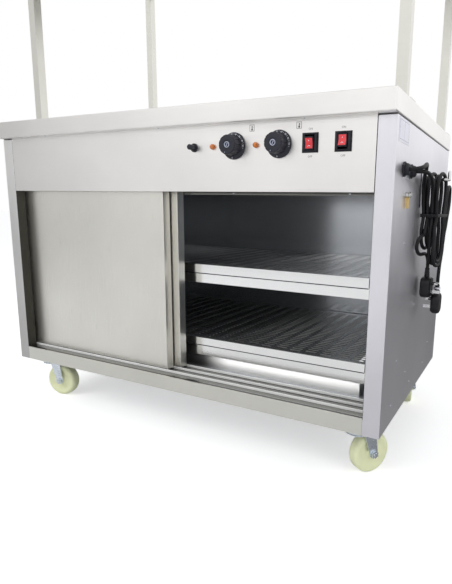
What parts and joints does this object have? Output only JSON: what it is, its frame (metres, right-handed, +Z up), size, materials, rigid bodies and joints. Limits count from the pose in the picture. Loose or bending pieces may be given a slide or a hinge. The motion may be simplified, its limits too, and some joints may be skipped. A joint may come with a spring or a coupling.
{
  "type": "mobile serving counter",
  "caption": "Stainless mobile serving counter: heated cupboard with sliding doors, perforated shelves, dials and rockers on a fascia, mains cords hung on the side, a gantry and castors.",
  "frame": {"origin": "middle of the bounding box's bottom face, on the floor, measured without the cords", "axes": "+X to the counter's right as the user faces its front, +Y towards its back, +Z up; the doors and controls face -Y"},
  "size_m": [1.262, 0.7106, 1.455],
  "materials": {
    "brushed_steel": "fine satin grain, soft reflections",
    "liner_steel": "smooth mill finish, a little brighter in reflection",
    "frame_paint": "matt dark paint",
    "black_plastic": "fine moulded texture",
    "red_rocker": "translucent gloss",
    "amber_lens": "clear domed lens",
    "black_rubber": "matt, slightly soft",
    "wheel_nylon": "smooth pale nylon",
    "zinc_plate": "bright zinc plating",
    "white_nylon": "plain moulded",
    "brass": "dull",
    "label_foil": "blank film",
    "heater_steel": "dark heat-coloured metal",
    "bright_rod": "bright plated rod"
  },
  "bodies": {
    "counter": {"worktop": "brushed_steel", "fascia": "brushed_steel", "side_panel_left": "brushed_steel", "side_panel_right": "brushed_steel", "back_panel": "brushed_steel", "base_frame": "frame_paint", "front_rail": "brushed_steel", "bottom_track": "liner_steel", "top_track": "liner_steel", "floor_pan": "liner_steel", "liner_back": "liner_steel", "liner_sides": "liner_steel", "liner_ceiling": "liner_steel", "upper_shelf_frame": "liner_steel", "lower_shelf_frame": "liner_steel", "upper_shelf": "brushed_steel", "lower_shelf": "brushed_steel", "heater_cover": "liner_steel", "heating_elements": "heater_steel", "top_heater": "heater_steel", "thermostats": "white_nylon", "rocker_frames": "black_plastic", "indicators": "amber_lens", "reset_housing": "black_plastic", "cable_glands": "black_plastic", "cord_1_lead": "black_rubber", "cord_1_hank": "black_rubber", "cord_1_tail": "black_rubber", "cord_2_lead": "black_rubber", "cord_2_hank": "black_rubber", "cord_2_tail": "black_rubber", "plug_1": "black_rubber", "plug_2": "black_rubber", "cord_ties": "black_rubber", "cord_hook": "bright_rod", "retaining_strap": "black_plastic", "bonding_stud": "brass", "rating_plate": "label_foil", "body_screws": "brushed_steel", "castor_plates": "zinc_plate", "gantry_posts": "brushed_steel", "gantry_shelf": "brushed_steel", "gantry_lamp": "brushed_steel"},
    "front_door_body": {"front_door": "brushed_steel", "front_door_glides": "white_nylon"},
    "rear_door_body": {"rear_door": "brushed_steel", "rear_door_glides": "white_nylon"},
    "dial_1": {"knob_1": "black_plastic"},
    "dial_2": {"knob_2": "black_plastic"},
    "switch_1": {"rocker_1": "red_rocker"},
    "switch_2": {"rocker_2": "red_rocker"},
    "reset": {"reset_button": "black_plastic"},
    "castor_fl": {"fork_fl": "zinc_plate"},
    "castor_fr": {"fork_fr": "zinc_plate"},
    "castor_rl": {"fork_rl": "zinc_plate"},
    "castor_rr": {"fork_rr": "zinc_plate"},
    "roller_fl": {"wheel_fl": "wheel_nylon"},
    "roller_fr": {"wheel_fr": "wheel_nylon"},
    "roller_rl": {"wheel_rl": "wheel_nylon"},
    "roller_rr": {"wheel_rr": "wheel_nylon"}
  },
  "joints": [
    {"name": "front_door_slide", "type": "slide", "parent": "counter", "child": "front_door_body", "axis": [1, 0, 0], "range_m": [0, 0.6125]},
    {"name": "rear_door_slide", "type": "slide", "parent": "counter", "child": "rear_door_body", "axis": [1, 0, 0], "range_m": [-0.0215, 0.5905]},
    {"name": "dial_1_turn", "type": "hinge", "parent": "counter", "child": "dial_1", "pos_m": [0.193, -0.34275, 0.766], "axis": [0, 1, 0], "range_deg": [0, 300]},
    {"name": "dial_2_turn", "type": "hinge", "parent": "counter", "child": "dial_2", "pos_m": [0.309, -0.34275, 0.766], "axis": [0, 1, 0], "range_deg": [0, 300]},
    {"name": "switch_1_rock", "type": "hinge", "parent": "counter", "child": "switch_1", "pos_m": [0.383, -0.31975, 0.766], "axis": [1, 0, 0], "range_deg": [-18, 0]},
    {"name": "switch_2_rock", "type": "hinge", "parent": "counter", "child": "switch_2", "pos_m": [0.457, -0.31975, 0.766], "axis": [1, 0, 0], "range_deg": [0, 18]},
    {"name": "reset_press", "type": "slide", "parent": "counter", "child": "reset", "axis": [0, 1, 0], "range_m": [0, 0.0025], "stiffness_N_per_m": 500, "springref_m": -0.002},
    {"name": "castor_fl_swivel", "type": "hinge", "parent": "counter", "child": "castor_fl", "pos_m": [-0.561, -0.25575, 0.108], "axis": [0, 0, 1], "continuous": true},
    {"name": "wheel_fl_roll", "type": "hinge", "parent": "castor_fl", "child": "roller_fl", "pos_m": [-0.52677, -0.24847, 0.051], "axis": [-0.2079, 0.9781, 0], "continuous": true},
    {"name": "castor_fr_swivel", "type": "hinge", "parent": "counter", "child": "castor_fr", "pos_m": [0.499, -0.25575, 0.108], "axis": [0, 0, 1], "continuous": true},
    {"name": "wheel_fr_roll", "type": "hinge", "parent": "castor_fr", "child": "roller_fr", "pos_m": [0.51907, -0.22708, 0.051], "axis": [-0.8192, 0.5736, 0], "continuous": true},
    {"name": "castor_rl_swivel", "type": "hinge", "parent": "counter", "child": "castor_rl", "pos_m": [-0.561, 0.29025, 0.108], "axis": [0, 0, 1], "continuous": true},
    {"name": "wheel_rl_roll", "type": "hinge", "parent": "castor_rl", "child": "roller_rl", "pos_m": [-0.5385, 0.26344, 0.051], "axis": [0.766, 0.6428, 0], "continuous": true},
    {"name": "castor_rr_swivel", "type": "hinge", "parent": "counter", "child": "castor_rr", "pos_m": [0.499, 0.29025, 0.108], "axis": [0, 0, 1], "continuous": true},
    {"name": "wheel_rr_roll", "type": "hinge", "parent": "castor_rr", "child": "roller_rr", "pos_m": [0.50628, 0.25601, 0.051], "axis": [0.9781, 0.2079, 0], "continuous": true}
  ]
}
